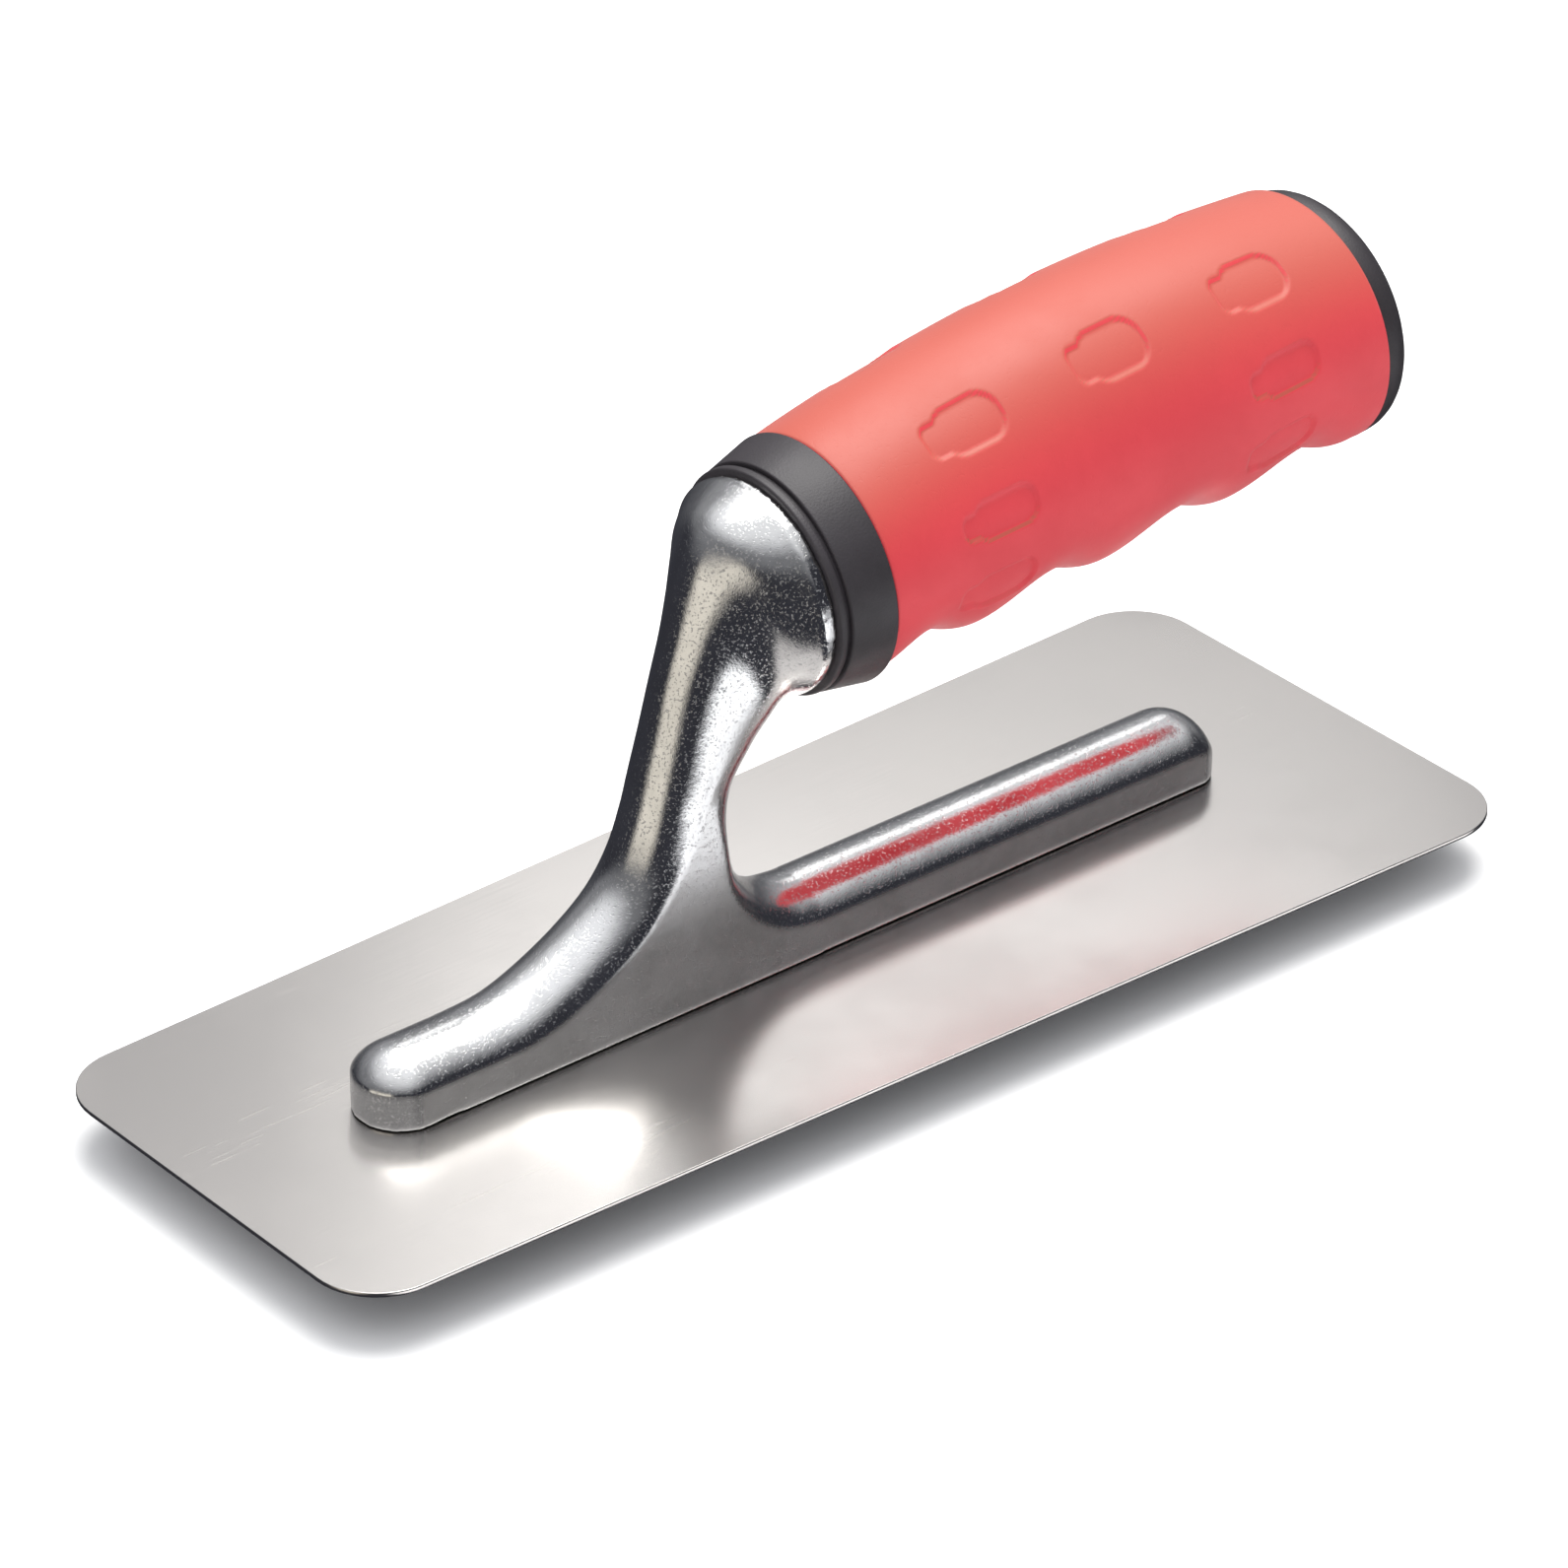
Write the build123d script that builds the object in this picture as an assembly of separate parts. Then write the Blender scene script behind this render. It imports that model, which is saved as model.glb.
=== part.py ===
from build123d import *
import math
import os

# A steel finishing trowel: a thin trapezoid blade riveted to a cast aluminium shank,
# which carries a rubber-sleeved handle above and parallel to the blade.
# Millimetres. +X points to the toe, +Z up, origin at the centre of the blade's underside.

# ---- blade ----
BLADE_LENGTH = 200.0
HEEL_WIDTH = 80.0
TOE_WIDTH = 70.0
BLADE_THICKNESS = 0.7
BLADE_CORNER = 10.0

# ---- mounting bar of the shank (heights are above the blade's top face) ----
BAR_HALF_WIDTH = 6.8
BAR_SIDE = 5.8            # height of the flat side, up to the crease
CROWN_EDGE_ANGLE = 59.0   # the crown's slope where it meets the flat side
NOSE_CENTRE_X = 67.2      # the toe end is a half round about this point
HEEL_END_X = -74.7
HEEL_PLAN_CORNER = 5.2    # rounding of the heel end seen from above
HEEL_TOP_CORNER = 6.5     # and seen from the side

# ---- arch between the bar and the neck, about a cross-wise axis ----
ARCH_X = 0.0
ARCH_RADIUS = 17.0        # to the crease; the crown stands inside it
ARCH_STEPS = 5
ARCH_TOP_CROWN = 3.2      # the crown is a little lower at the top of the arch
ARCH_TOP_ANGLE = 57.0
CROWN_SKIRT = 1.5         # how deep each crown sinks into the web below its crease

# ---- handle axis ----
HANDLE_TILT = 5.0         # degrees, rising towards the heel
HANDLE_X = 5.3            # where the handle starts, on its axis
HANDLE_HEIGHT = 57.2      # above the blade's top face
MOUTH_RADIUS = 15.7       # round end of the casting, against the handle
MOUTH_LAND = 1.9          # length of its cylindrical rim
MOUTH_CROWN_SHARE = 0.49  # each crown's part of the round mouth, with a hair of flat between
MOUTH_CROWN_ANGLE = 89.5
SPIGOT_RADIUS = 10.0
SPIGOT_ROOT = -1.0        # the spigot starts just inside the rim
SPIGOT_LENGTH = 12.0

# ---- handle pieces, by distance along the axis from the casting ----
RING_RADIUS = 16.5
RING_LENGTH = 1.2
GROOVE_RADIUS = 16.0
GROOVE_LENGTH = 0.7
COLLAR_FRONT_RADIUS = 16.8
COLLAR_RADIUS = 18.2
COLLAR_END = 8.6
SLEEVE_END = 98.0
SLEEVE_END_RADIUS = 18.7
CORE_RADIUS = 12.0
CAP_RADIUS = 18.3
CAP_DROP = 0.8            # the cap's own axis lies a little below the handle's
CAP_DOME = 7.4
CAP_EDGE = 0.8

# ---- grip shape: a crowned top, and four finger hollows between crests below ----
SLEEVE_FRONT_RADIUS = 17.9
SLEEVE_END_TOP = 18.2
TOP_CROWN = 4.2           # how far the top swells above the ends
SIDE_CROWN = 1.2
SWELL_POWER = 0.8         # under 1 makes the swell fuller near its ends
SWELL_HASTE = 0.045       # how much sooner the swell dies away at the rear
SWELL_HASTE_POWER = 4
UNDERSIDE = [             # distance along the axis, radius straight down
    (8.6, 16.9),
    (17.2, 13.7),
    (26.5, 17.0),
    (38.8, 13.7),
    (48.5, 17.0),
    (61.5, 13.9),
    (72.0, 17.6),
    (85.0, 15.2),
    (95.5, 18.9),
    (98.0, 19.1),
]

# ---- fastening through the handle ----
ROD_RADIUS = 4.0
ROD_CLEARANCE = 0.2
ROD_START = -8.0
ROD_END = 92.5
POCKET_RADIUS = 9.5
POCKET_START = 84.0
WASHER_RADIUS = 8.0
WASHER_THICKNESS = 1.6
NUT_FLATS = 13.0
NUT_HEIGHT = 6.5
PLUG_START = 94.0

# ---- rivets ----
RIVET_COUNT = 7
RIVET_SPACING = 20.5
RIVET_RADIUS = 1.6
RIVET_HEAD_RADIUS = 2.7
RIVET_DEPTH = 4.0

BLADE_TOP = BLADE_THICKNESS
BAR_CROWN = BAR_HALF_WIDTH * math.tan(math.radians(CROWN_EDGE_ANGLE / 2))
RIVET_XS = [(i - (RIVET_COUNT - 1) / 2) * RIVET_SPACING for i in range(RIVET_COUNT)]

tilt = math.radians(HANDLE_TILT)
HANDLE = Plane(
    origin=(HANDLE_X, 0, BLADE_TOP + HANDLE_HEIGHT),
    x_dir=(-math.cos(tilt), 0, math.sin(tilt)),
    z_dir=(0, 1, 0),
)


def turned(points):
    """Solid of revolution about the handle's axis, from (distance, radius) points."""
    profile = make_face(Polyline(*points, close=True))
    return HANDLE * revolve(profile, Axis.X, 360)


def crown_edge(crease, crest, half_width, edge_angle):
    """Elliptical arc over a rib, from the crease on the +Y side to the one on the -Y side."""
    base = Vector(crease[0], 0, crease[1])
    rise = Vector(crest[0], 0, crest[1]) - base
    height = rise.length
    up = rise.normalized()
    angle = math.radians(edge_angle)
    across = half_width / math.sin(angle)
    along = height / (1 - math.cos(angle))
    centre = base - up * (along * math.cos(angle))
    plane = Plane(origin=centre, x_dir=(0, 1, 0), z_dir=Vector(0, 1, 0).cross(up))
    return Edge.make_ellipse(across, along, plane, 90 - edge_angle, 90 + edge_angle)


def half_rib(crease, crest, half_width, edge_angle):
    """Section of a crown with a rectangular skirt below its crease, sunk into the web."""
    arc = crown_edge(crease, crest, half_width, edge_angle)
    start, end = arc @ 0, arc @ 1
    down = Vector(crease[0] - crest[0], 0, crease[1] - crest[1]).normalized() * CROWN_SKIRT
    sides = Polyline(end, end + down, start + down, start)
    return make_face([arc, *sides.edges()])


def full_rib(front, back, shares, half_width, edge_angles):
    """Closed section of the neck: a crown in front, one behind, and flat sides between.
    The shares are the two crowns' parts of the way from the front to the back."""
    span = Vector(back[0] - front[0], 0, back[1] - front[1])
    fore_crease = Vector(front[0], 0, front[1]) + span * shares[0]
    aft_crease = Vector(back[0], 0, back[1]) - span * shares[1]
    fore = crown_edge((fore_crease.X, fore_crease.Z), front, half_width, edge_angles[0])
    aft = crown_edge((aft_crease.X, aft_crease.Z), back, half_width, edge_angles[1])
    left = Line(fore @ 1, aft @ 1)
    right = Line(aft @ 0, fore @ 0)
    return make_face([fore, left, aft, right])


def high(z):
    """Height above the underside, from a height above the blade's top face."""
    return BLADE_TOP + z


def blade():
    """Sheet with tapering sides, round corners and a countersunk hole for each rivet."""
    outline = Polyline(
        (-BLADE_LENGTH / 2, -HEEL_WIDTH / 2),
        (BLADE_LENGTH / 2, -TOE_WIDTH / 2),
        (BLADE_LENGTH / 2, TOE_WIDTH / 2),
        (-BLADE_LENGTH / 2, HEEL_WIDTH / 2),
        close=True,
    )
    face = make_face(outline)
    sheet = extrude(fillet(face.vertices(), BLADE_CORNER), BLADE_THICKNESS)
    for x in RIVET_XS:
        sheet -= rivet(x)
    return sheet


def rivet(x):
    """Countersunk rivet, flush with the underside, that reaches up into the bar."""
    profile = Polyline(
        (0, 0),
        (RIVET_HEAD_RADIUS, 0),
        (RIVET_RADIUS, BLADE_THICKNESS),
        (RIVET_RADIUS, BLADE_THICKNESS + RIVET_DEPTH),
        (0, BLADE_THICKNESS + RIVET_DEPTH),
        close=True,
    )
    return Pos(x, 0, 0) * revolve(Plane.XZ * make_face(profile), Axis.Z, 360)


def bar_section():
    """Upright section of the mounting bar: flat sides under a shallow round crown."""
    crown = ThreePointArc(
        (0, BAR_HALF_WIDTH, high(BAR_SIDE)),
        (0, 0, high(BAR_SIDE + BAR_CROWN)),
        (0, -BAR_HALF_WIDTH, high(BAR_SIDE)),
    )
    foot = Polyline(
        crown @ 1,
        (0, -BAR_HALF_WIDTH, BLADE_TOP),
        (0, BAR_HALF_WIDTH, BLADE_TOP),
        crown @ 0,
    )
    return make_face([crown, *foot.edges()])


def bar():
    """Mounting bar with its half-round nose and its rounded heel end."""
    section = bar_section()
    span = NOSE_CENTRE_X - HEEL_END_X
    half = split(section, Plane.XZ, keep=Keep.BOTTOM)
    straight = extrude(Pos(HEEL_END_X, 0, 0) * section, span, dir=(1, 0, 0))
    nose = Pos(NOSE_CENTRE_X, 0, 0) * revolve(half, Axis.Z, -180)
    top = high(BAR_SIDE + BAR_CROWN)
    plan = Pos(HEEL_END_X + span / 2, 0, 0) * Rectangle(span, 2 * BAR_HALF_WIDTH)
    plan = fillet(plan.vertices().group_by(Axis.X)[0], HEEL_PLAN_CORNER)
    side = Pos(HEEL_END_X + span / 2, top / 2) * Rectangle(span, top)
    corner = side.vertices().group_by(Axis.X)[0].sort_by(Axis.Y)[-1]
    side = Plane.XZ * fillet(corner, HEEL_TOP_CORNER)
    straight &= extrude(plan, top)
    straight &= extrude(side, BAR_HALF_WIDTH, both=True)
    return straight + nose


# The neck starts at the top of the arch, on a level section between these x values.
NECK_START = BAR_SIDE + ARCH_RADIUS
NECK_FRONT = 30.8
NECK_FRONT_CREASE = 24.4
NECK_BACK_CREASE = ARCH_X + ARCH_RADIUS
NECK_BACK = NECK_BACK_CREASE - ARCH_TOP_CROWN
NECK_DEPTH = NECK_FRONT - NECK_BACK
NECK_SHARES = ((NECK_FRONT - NECK_FRONT_CREASE) / NECK_DEPTH, ARCH_TOP_CROWN / NECK_DEPTH)

# Ribs of the sweep that climbs from the bar's toe side to the neck:
# crease (x, z), crest (x, z) and how far round its ellipse the crown reaches.
SWEEP_RIBS = [
    ((58.0, BAR_SIDE), (58.0, BAR_SIDE + BAR_CROWN), CROWN_EDGE_ANGLE),
    ((50.0, 6.1), (50.8, 10.5), 61),
    ((43.0, 8.1), (45.0, 12.5), 64),
    ((35.8, 11.6), (38.5, 15.8), 67),
    ((29.6, 16.1), (33.6, 19.3), 71),
    ((NECK_FRONT_CREASE, NECK_START), (NECK_FRONT, NECK_START), 78),
]

# Ribs of the neck from the top of the arch to the round mouth: front (x, z), back (x, z),
# the shares of the two crowns, half width and how far round the crowns reach.
NECK_RIBS = [
    ((NECK_FRONT, NECK_START), (NECK_BACK, NECK_START), NECK_SHARES, 6.8, (78, ARCH_TOP_ANGLE)),
    ((29.55, 25.5), (13.85, 24.9), (0.41, 0.24), 6.8, (81, 60)),
    ((28.4, 28.6), (13.6, 27.3), (0.46, 0.29), 6.8, (84, 64)),
    ((26.8, 34.0), (12.2, 31.2), (0.487, 0.44), 6.85, (89, 76)),
    ((24.9, 40.6), (9.9, 34.4), (0.50, 0.475), 6.9, (89, 86)),
    ((23.0, 47.6), (8.3, 36.6), (0.54, 0.44), 7.2, (89, 89)),
    ((20.8, 54.4), (7.0, 38.4), (0.60, 0.38), 7.7, (89, 89)),
    ((19.0, 60.4), (6.3, 39.8), (0.62, 0.36), 8.4, (89, 89)),
    ((17.0, 66.0), (6.0, 40.7), (0.60, 0.38), 9.7, (89, 89)),
    ((14.0, 70.0), (5.9, 41.15), (0.55, 0.43), 12.2, (89, 89)),
]


def lifted(point):
    return (point[0], high(point[1]))


def sweep_up():
    """Crown of the concave sweep from the bar to the front of the neck."""
    sections = [
        half_rib(lifted(crease), lifted(crest), BAR_HALF_WIDTH, angle)
        for crease, crest, angle in SWEEP_RIBS
    ]
    return loft(sections)


def arch_crown():
    """Crown that turns up from the heel side of the bar round the arch."""
    sections = []
    for i in range(ARCH_STEPS + 1):
        share = i / ARCH_STEPS
        turn = math.pi / 2 * share
        crown = BAR_CROWN + (ARCH_TOP_CROWN - BAR_CROWN) * share
        angle = CROWN_EDGE_ANGLE + (ARCH_TOP_ANGLE - CROWN_EDGE_ANGLE) * share
        crease, crest = (
            (ARCH_X + radius * math.sin(turn), NECK_START - radius * math.cos(turn))
            for radius in (ARCH_RADIUS, ARCH_RADIUS - crown)
        )
        sections.append(half_rib(lifted(crease), lifted(crest), BAR_HALF_WIDTH, angle))
    return loft(sections)


def web():
    """Flat-sided plate between the two creases, over the bar."""
    arch = CenterArc((ARCH_X, high(BAR_SIDE + ARCH_RADIUS)), ARCH_RADIUS, -90, 90)
    top = arch @ 1
    rising = [(crease[0], high(crease[1])) for crease, crest, angle in SWEEP_RIBS]
    front = Spline(*rising)
    outline = [
        arch,
        Line(top, rising[-1]),
        front,
        Polyline(rising[0], (rising[0][0], BLADE_TOP), (ARCH_X, BLADE_TOP), arch @ 0),
    ]
    plate = make_face([edge for line in outline for edge in line.edges()])
    return extrude(Plane.XZ * plate, BAR_HALF_WIDTH, both=True)


def mouth():
    """Round end of the neck, in front of its rim."""
    top, low = (HANDLE * Pos(-MOUTH_LAND, side * MOUTH_RADIUS) for side in (1, -1))
    ends = [(spot.position.X, spot.position.Z) for spot in (top, low)]
    shares = (MOUTH_CROWN_SHARE, MOUTH_CROWN_SHARE)
    return full_rib(*ends, shares, MOUTH_RADIUS, (MOUTH_CROWN_ANGLE, MOUTH_CROWN_ANGLE))


def neck():
    """Neck that widens and leans back into the round mouth against the handle."""
    sections = [
        full_rib(lifted(front), lifted(back), shares, half_width, angles)
        for front, back, shares, half_width, angles in NECK_RIBS
    ]
    return loft([*sections, mouth()])


def shank():
    """Aluminium casting: bar, web, arch and neck, with the rim and spigot for the handle."""
    rim = extrude(mouth(), MOUTH_LAND, dir=HANDLE.x_dir)
    spigot = turned([
        (SPIGOT_ROOT, 0), (SPIGOT_ROOT, SPIGOT_RADIUS), (SPIGOT_LENGTH, SPIGOT_RADIUS), (SPIGOT_LENGTH, 0),
    ])
    body = bar() + web() + arch_crown() + sweep_up() + neck() + rim + spigot
    body -= turned([(ROD_START, 0), (ROD_START, ROD_RADIUS), (SPIGOT_LENGTH, ROD_RADIUS), (SPIGOT_LENGTH, 0)])
    for x in RIVET_XS:
        body -= rivet(x)
    return body


def neck_ring():
    """Thin glossy ring between the casting and the handle's collar."""
    return turned([
        (0, SPIGOT_RADIUS), (0, RING_RADIUS), (RING_LENGTH, RING_RADIUS), (RING_LENGTH, SPIGOT_RADIUS),
    ])


def grip_core():
    """Stiff plastic tube with the tapered collar in front and a pocket for the nut behind."""
    groove_end = RING_LENGTH + GROOVE_LENGTH
    bore = ROD_RADIUS + ROD_CLEARANCE
    return turned([
        (RING_LENGTH, SPIGOT_RADIUS),
        (RING_LENGTH, GROOVE_RADIUS),
        (groove_end, GROOVE_RADIUS),
        (groove_end, COLLAR_FRONT_RADIUS),
        (COLLAR_END, COLLAR_RADIUS),
        (COLLAR_END, CORE_RADIUS),
        (SLEEVE_END, CORE_RADIUS),
        (SLEEVE_END, POCKET_RADIUS),
        (POCKET_START, POCKET_RADIUS),
        (POCKET_START, bore),
        (SPIGOT_LENGTH, bore),
        (SPIGOT_LENGTH, SPIGOT_RADIUS),
    ])


def underside(s):
    """Radius straight down: smooth waves between the named hollows and crests."""
    for (start, first), (end, last) in zip(UNDERSIDE, UNDERSIDE[1:]):
        if s <= end:
            break
    share = (s - start) / (end - start)
    return first + (last - first) * (1 - math.cos(math.pi * share)) / 2


def sleeve_radii(s):
    """Half width, top radius and underside radius of the grip at a distance s."""
    t = (s - COLLAR_END) / (SLEEVE_END - COLLAR_END)
    hasty = min(t + SWELL_HASTE * t ** SWELL_HASTE_POWER, 1)
    swell = max(math.sin(math.pi * hasty), 0) ** SWELL_POWER
    side = SLEEVE_FRONT_RADIUS + (SLEEVE_END_RADIUS - SLEEVE_FRONT_RADIUS) * t
    top = SLEEVE_FRONT_RADIUS + (SLEEVE_END_TOP - SLEEVE_FRONT_RADIUS) * t
    return side + SIDE_CROWN * swell, top + TOP_CROWN * swell, underside(s)


def sleeve_section(s):
    """Egg-shaped section: half an ellipse over the top and half an ellipse below."""
    width, top, low = sleeve_radii(s)
    upper = Edge.make_ellipse(top, width, Plane.YZ.offset(s), -90, 90)
    lower = Edge.make_ellipse(low, width, Plane.YZ.offset(s), 90, 270)
    return make_face([upper, lower])


def grip_sleeve():
    """Soft rubber sleeve with a crowned top and four finger hollows along its underside."""
    ends = [s for s, radius in UNDERSIDE]
    middles = [(start + end) / 2 for start, end in zip(ends, ends[1:])]
    sections = [sleeve_section(s) for s in sorted(ends + middles)]
    bore = extrude(Plane.YZ.offset(COLLAR_END) * Circle(CORE_RADIUS), SLEEVE_END - COLLAR_END)
    return HANDLE * (loft(sections) - bore)


def end_cap():
    """Dome that closes the rear of the handle, with a plug in the pocket over the nut."""
    rim = SLEEVE_END + CAP_EDGE
    dome = EllipticalCenterArc((rim, 0), CAP_DOME - CAP_EDGE, CAP_RADIUS, 0, arc_size=90)
    outline = Polyline(
        (rim, CAP_RADIUS),
        (SLEEVE_END, CAP_RADIUS),
        (SLEEVE_END, 0),
        (SLEEVE_END + CAP_DOME, 0),
    )
    shell = revolve(make_face([dome, *outline.edges()]), Axis.X, 360)
    plug = turned([
        (PLUG_START, 0), (PLUG_START, POCKET_RADIUS), (SLEEVE_END, POCKET_RADIUS), (SLEEVE_END, 0),
    ])
    return HANDLE * Pos(0, -CAP_DROP, 0) * shell + plug


def tang_rod():
    """Steel rod screwed into the casting, which pulls the handle tight against it."""
    return turned([(ROD_START, 0), (ROD_START, ROD_RADIUS), (ROD_END, ROD_RADIUS), (ROD_END, 0)])


def tang_washer():
    hole = ROD_RADIUS + ROD_CLEARANCE
    end = POCKET_START + WASHER_THICKNESS
    return turned([(POCKET_START, hole), (POCKET_START, WASHER_RADIUS), (end, WASHER_RADIUS), (end, hole)])


def tang_nut():
    seat = POCKET_START + WASHER_THICKNESS
    outline = RegularPolygon(NUT_FLATS / 2, 6, major_radius=False) - Circle(ROD_RADIUS)
    return HANDLE * extrude(Plane.YZ.offset(seat) * outline, NUT_HEIGHT)


pieces = {
    "blade": blade(),
    "shank": shank(),
    "neck_ring": neck_ring(),
    "grip_core": grip_core(),
    "grip_sleeve": grip_sleeve(),
    "end_cap": end_cap(),
    "tang_rod": tang_rod(),
    "tang_washer": tang_washer(),
    "tang_nut": tang_nut(),
}
for number, x in enumerate(RIVET_XS, start=1):
    pieces[f"rivet_{number}"] = rivet(x)

os.makedirs("parts", exist_ok=True)
for name, piece in pieces.items():
    export_step(piece, f"parts/{name}.step")
    print(name, "volume", round(piece.volume), "mm3")
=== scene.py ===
# %% [markdown]
# # A steel finishing trowel
# A plasterer's finishing trowel is a thin springy blade riveted to a cast aluminium shank, with a
# rubber-sleeved handle clamped to the shank's round mouth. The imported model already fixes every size
# and place. This lesson dresses it: each piece that shows gets a finer mesh and a procedural finish.

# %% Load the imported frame
import math

import bmesh
import bpy
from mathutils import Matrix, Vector


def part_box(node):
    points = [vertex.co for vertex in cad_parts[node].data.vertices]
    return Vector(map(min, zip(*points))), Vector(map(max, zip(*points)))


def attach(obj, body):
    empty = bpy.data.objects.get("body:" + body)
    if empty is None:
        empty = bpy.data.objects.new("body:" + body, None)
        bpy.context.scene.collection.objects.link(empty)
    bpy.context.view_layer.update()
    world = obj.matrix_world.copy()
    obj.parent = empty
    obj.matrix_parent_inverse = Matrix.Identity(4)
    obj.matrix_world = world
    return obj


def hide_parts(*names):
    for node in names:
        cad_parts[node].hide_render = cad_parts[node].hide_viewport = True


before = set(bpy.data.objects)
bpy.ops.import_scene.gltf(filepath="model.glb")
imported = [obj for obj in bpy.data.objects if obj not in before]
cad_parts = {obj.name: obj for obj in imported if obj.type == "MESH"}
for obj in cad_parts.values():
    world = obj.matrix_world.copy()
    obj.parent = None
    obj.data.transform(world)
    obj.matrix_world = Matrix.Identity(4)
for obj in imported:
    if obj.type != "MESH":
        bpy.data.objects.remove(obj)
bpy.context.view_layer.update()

# %% [markdown]
# ## Measures
# Blender works in metres, and a trowel is easier to think about in millimetres, so one factor turns
# one into the other. The heights of the shank are measured from the blade's top face, which the frame gives.

# %% Millimetres and the blade's top face
MM = 0.001
ACROSS = Vector((0, 1, 0))
blade_low, blade_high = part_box("blade")
BLADE_TOP = blade_high.z / MM
print("blade", [round(v / MM, 2) for v in blade_high - blade_low], "mm")


def point(x, z):
    """A point of the shank's middle plane, from millimetres above the blade's top face."""
    return Vector((x, 0, z + BLADE_TOP))


# %% [markdown]
# ## Small tools for making pieces
# Nearly every piece here is either turned, like the end cap, or drawn through a row of sections, like
# the shank. Blender's operators do both: `spin` turns a profile about an axis, and `bridge_loops` joins
# two rings with a band of faces. A ring starts as `create_circle`, and its points are then laid on the
# section's outline, so that every ring has the same number of points and the bands come out as clean quads.

# %% A finished piece from a bmesh
shown = {}                # the new pieces by name


def finish_piece(name, bm, smooth_angle=40):
    """Turns a bmesh in millimetres into an object in metres, placed in the frame's own coordinates."""
    bmesh.ops.remove_doubles(bm, verts=bm.verts, dist=0.001)
    bmesh.ops.recalc_face_normals(bm, faces=bm.faces)
    bmesh.ops.scale(bm, vec=(MM, MM, MM), verts=bm.verts)
    mesh = bpy.data.meshes.new(name)
    bm.to_mesh(mesh)
    bm.free()
    piece = bpy.data.objects.new(name, mesh)
    bpy.context.scene.collection.objects.link(piece)
    mesh.shade_smooth()
    mesh.set_sharp_from_angle(angle=math.radians(smooth_angle))
    shown[name] = piece
    print(name, len(mesh.polygons), "faces")
    return piece


# %% A ring laid on an outline
def ring(bm, count, base, up, outline):
    """One closed ring. outline(f) gives (across, rise) for a share f of the way round."""
    made = bmesh.ops.create_circle(bm, segments=count, radius=1.0)
    for i, vert in enumerate(made["verts"]):
        across, rise = outline(i / count)
        vert.co = base + ACROSS * across + up * rise
    return list({edge for vert in made["verts"] for edge in vert.link_edges})


def skin(bm, rings, closed_ends=True):
    """Joins neighbouring rings with bands of faces and fills the first and the last."""
    for first, second in zip(rings, rings[1:]):
        bmesh.ops.bridge_loops(bm, edges=first + second)
    if closed_ends:
        for end in (rings[0], rings[-1]):
            bmesh.ops.contextual_create(bm, geom=end)


# %% A smooth run through a few stations
def blend_rows(rows, t):
    """Catmull-Rom value at t, where row i is reached at t = i. Each row is a list of numbers."""
    last = len(rows) - 1
    i = min(int(t), last - 1)
    f = t - i
    a, b, c, d = (rows[min(max(k, 0), last)] for k in (i - 1, i, i + 1, i + 2))
    return [
        0.5 * (2 * q + (r - p) * f + (2 * p - 5 * q + 4 * r - s) * f * f + (3 * q - p - 3 * r + s) * f ** 3)
        for p, q, r, s in zip(a, b, c, d)
    ]


# %% [markdown]
# ## The blade
# The blade is 0.7 mm of stainless sheet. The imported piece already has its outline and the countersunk
# holes, so a copy of its mesh is the honest start: the loose triangles are merged, flat areas are cleaned
# up, and the outer rim is bevelled by a tenth of a millimetre, because that thin bright line along the
# edge is what makes sheet steel look like steel.

# %% Blade with a bevelled rim
RIM_BEVEL = 0.12
RIM_ANGLE = 60
MERGE_WITHIN = 0.002
FLAT_WITHIN = 0.5         # degrees
RIVET_ZONE = 5.0          # the rivets lie within this distance of the middle line
RIVET_END = 80.0          # and within this distance of the middle of the blade
FLAT_ENOUGH = 0.999

bm = bmesh.new()
bm.from_mesh(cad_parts["blade"].data)
bmesh.ops.scale(bm, vec=(1 / MM, 1 / MM, 1 / MM), verts=bm.verts)
bmesh.ops.remove_doubles(bm, verts=bm.verts, dist=MERGE_WITHIN)
bmesh.ops.dissolve_limit(bm, angle_limit=math.radians(FLAT_WITHIN), verts=bm.verts, edges=bm.edges)
rim = [
    edge for edge in bm.edges
    if len(edge.link_faces) == 2
    and edge.calc_face_angle() > math.radians(RIM_ANGLE)
    and (abs(edge.verts[0].co.y) > RIVET_ZONE or abs(edge.verts[0].co.x) > RIVET_END)
]
bmesh.ops.bevel(
    bm, geom=rim, offset=RIM_BEVEL, segments=2, profile=0.5, affect="EDGES", material=-1, clamp_overlap=True,
)
blade = finish_piece("blade_sheet", bm, smooth_angle=35)
for face in blade.data.polygons:
    face.use_smooth = abs(face.normal.z) < FLAT_ENOUGH    # the two broad faces stay truly flat
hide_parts("blade")

# %% [markdown]
# ## The shank: where its crowns run
# The casting is a bar with a rounded top that swells up into a neck. Seen from the side, two lines tell
# the whole shape: the crease, where the flat side stops, and the crest, the highest line of the rounded
# top. One pair of lines climbs from the toe end of the bar up the front of the neck. The other turns up
# round the arch behind it. Where the neck is free of the web, both crowns meet and make a closed section.

# %% Measures of the bar
BAR_HALF = 6.8
BAR_SIDE = 5.8
CROWN_ANGLE = 59.0
BAR_CROWN = BAR_HALF * math.tan(math.radians(CROWN_ANGLE / 2))
NOSE_X = 67.2
HEEL_X = -74.7
HEEL_PLAN_CORNER = 5.2
HEEL_TOP_CORNER = 6.5
ARCH_RADIUS = 17.0
ARCH_TOP_CROWN = 3.2
NECK_START = BAR_SIDE + ARCH_RADIUS
SWEEP_START = 62.0        # where the front crown begins to leave the bar

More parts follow.
